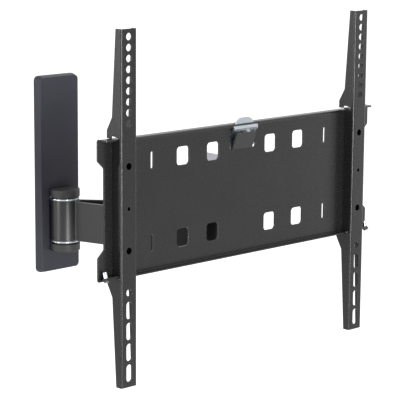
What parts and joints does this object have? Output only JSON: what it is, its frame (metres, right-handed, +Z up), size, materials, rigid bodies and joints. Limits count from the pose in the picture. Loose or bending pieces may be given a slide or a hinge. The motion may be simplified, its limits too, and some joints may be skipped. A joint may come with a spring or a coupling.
{
  "type": "full motion tv wall mount",
  "caption": "Swinging wall mount for a television: covered wall bracket, hollow hinged arm, tilting head, latched plate and two slotted strips.",
  "frame": {"origin": "middle of the wall bracket's back face, on the wall", "axes": "+Y into the wall, +Z up, +X to the right for a viewer in the room; the mount stands out towards -Y"},
  "size_m": [0.468, 0.3115, 0.4237],
  "materials": {
    "plate_coat": "satin black powder coat",
    "cover_coat": "satin anthracite powder coat",
    "arm_coat": "satin dark grey coat on aluminium",
    "bracket_coat": "black coat",
    "cap_plastic": "fine matte",
    "bush_plastic": "smooth dark",
    "chrome": "bright plated",
    "zinc": "zinc plated",
    "steel": "plain steel"
  },
  "bodies": {
    "wall": {"wall_bracket": "bracket_coat", "wall_cover": "cover_coat", "hinge_cap_top": "cap_plastic", "hinge_cap_bottom": "cap_plastic", "wall_pin": "steel", "wall_pin_nut": "steel"},
    "arm": {"arm_profile": "arm_coat", "wall_bush_top": "bush_plastic", "wall_bush_bottom": "bush_plastic", "wall_ring_top": "chrome", "wall_ring_bottom": "chrome", "wall_thrust_top": "bush_plastic", "wall_thrust_bottom": "bush_plastic", "tv_bush_top": "bush_plastic", "tv_bush_bottom": "bush_plastic", "tv_ring": "chrome", "tv_thrust": "bush_plastic"},
    "head": {"swivel_head": "zinc", "tv_pin": "steel", "tv_pin_nut": "steel", "tilt_bolts": "steel", "tilt_nuts": "steel", "tilt_discs": "bush_plastic"},
    "tv_frame": {"tilt_bracket": "zinc", "tv_plate": "plate_coat", "strip_left": "plate_coat", "strip_right": "plate_coat", "lock_nut_left": "steel", "lock_nut_right": "steel", "latch_guide": "plate_coat"},
    "latch": {"latch": "chrome"},
    "lock_left": {"lock_screw_left": "chrome"},
    "lock_right": {"lock_screw_right": "chrome"}
  },
  "joints": [
    {"name": "wall_swing", "type": "hinge", "parent": "wall", "child": "arm", "pos_m": [0, -0.0208, -0.0602], "axis": [0, 0, 1], "range_deg": [-76, 44]},
    {"name": "tv_swivel", "type": "hinge", "parent": "arm", "child": "head", "pos_m": [0.05926, -0.22747, -0.0602], "axis": [0, 0, 1], "range_deg": [-44, 76]},
    {"name": "tilt", "type": "hinge", "parent": "head", "child": "tv_frame", "pos_m": [0.05926, -0.25947, 0.0219], "axis": [1, 0, 0], "range_deg": [-5, 15]},
    {"name": "latch_lift", "type": "slide", "parent": "tv_frame", "child": "latch", "axis": [0, 0, 1], "range_m": [0, 0.004]},
    {"name": "lock_left_turn", "type": "hinge", "parent": "tv_frame", "child": "lock_left", "pos_m": [-0.16814, -0.30185, -0.06789], "axis": [0, 0.2588, 0.9659], "continuous": true},
    {"name": "lock_right_turn", "type": "hinge", "parent": "tv_frame", "child": "lock_right", "pos_m": [0.28666, -0.30185, -0.06789], "axis": [0, 0.2588, 0.9659], "continuous": true}
  ]
}
